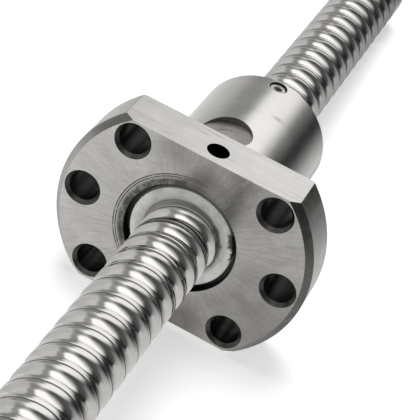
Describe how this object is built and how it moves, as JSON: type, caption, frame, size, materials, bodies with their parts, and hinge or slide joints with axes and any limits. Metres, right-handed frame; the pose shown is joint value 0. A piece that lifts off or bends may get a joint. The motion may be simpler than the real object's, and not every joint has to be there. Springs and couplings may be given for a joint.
{
  "type": "ball screw",
  "caption": "Ball screw: a threaded shaft with end journals runs in a flanged nut with internal ball returns and wipers; the round flange has flats and screw holes.",
  "frame": {"origin": "on the screw's axis, in the plane of the flange's mounting face (its rear face)", "axes": "+X along the screw, out of the flange's front face; +Z square to the flange's two flats, toward the oil port; +Y across the flange, parallel to the flats"},
  "size_m": [0.226, 0.04, 0.029],
  "materials": {
    "nut_steel": "ground",
    "screw_steel": "polished",
    "plug_steel": "ground",
    "ball_steel": "mirror",
    "black_steel": "black oxide",
    "wiper_plastic": "satin"
  },
  "bodies": {
    "nut": {"nut_body": "nut_steel", "front_wiper": "wiper_plastic", "rear_wiper": "wiper_plastic", "wiper_lock_screw": "plug_steel", "front_return_plug": "plug_steel", "middle_return_plug": "plug_steel", "rear_return_plug": "plug_steel", "front_ball_circuit": "ball_steel", "middle_ball_circuit": "ball_steel", "rear_ball_circuit": "ball_steel"},
    "ring": {"retaining_ring": "black_steel"},
    "screw": {"screw_shaft": "screw_steel"}
  },
  "joints": [
    {"name": "screw_travel", "type": "slide", "parent": "nut", "child": "ring", "axis": [1, 0, 0], "range_m": [-0.06, 0.06]},
    {"name": "screw_spin", "type": "hinge", "parent": "ring", "child": "screw", "pos_m": [0, 0, 0], "axis": [1, 0, 0], "range_deg": [-5410, 5410]}
  ],
  "couplings": [
    {"joint": "screw_spin", "follows": "screw_travel", "rad_per_m": 1570.8}
  ]
}
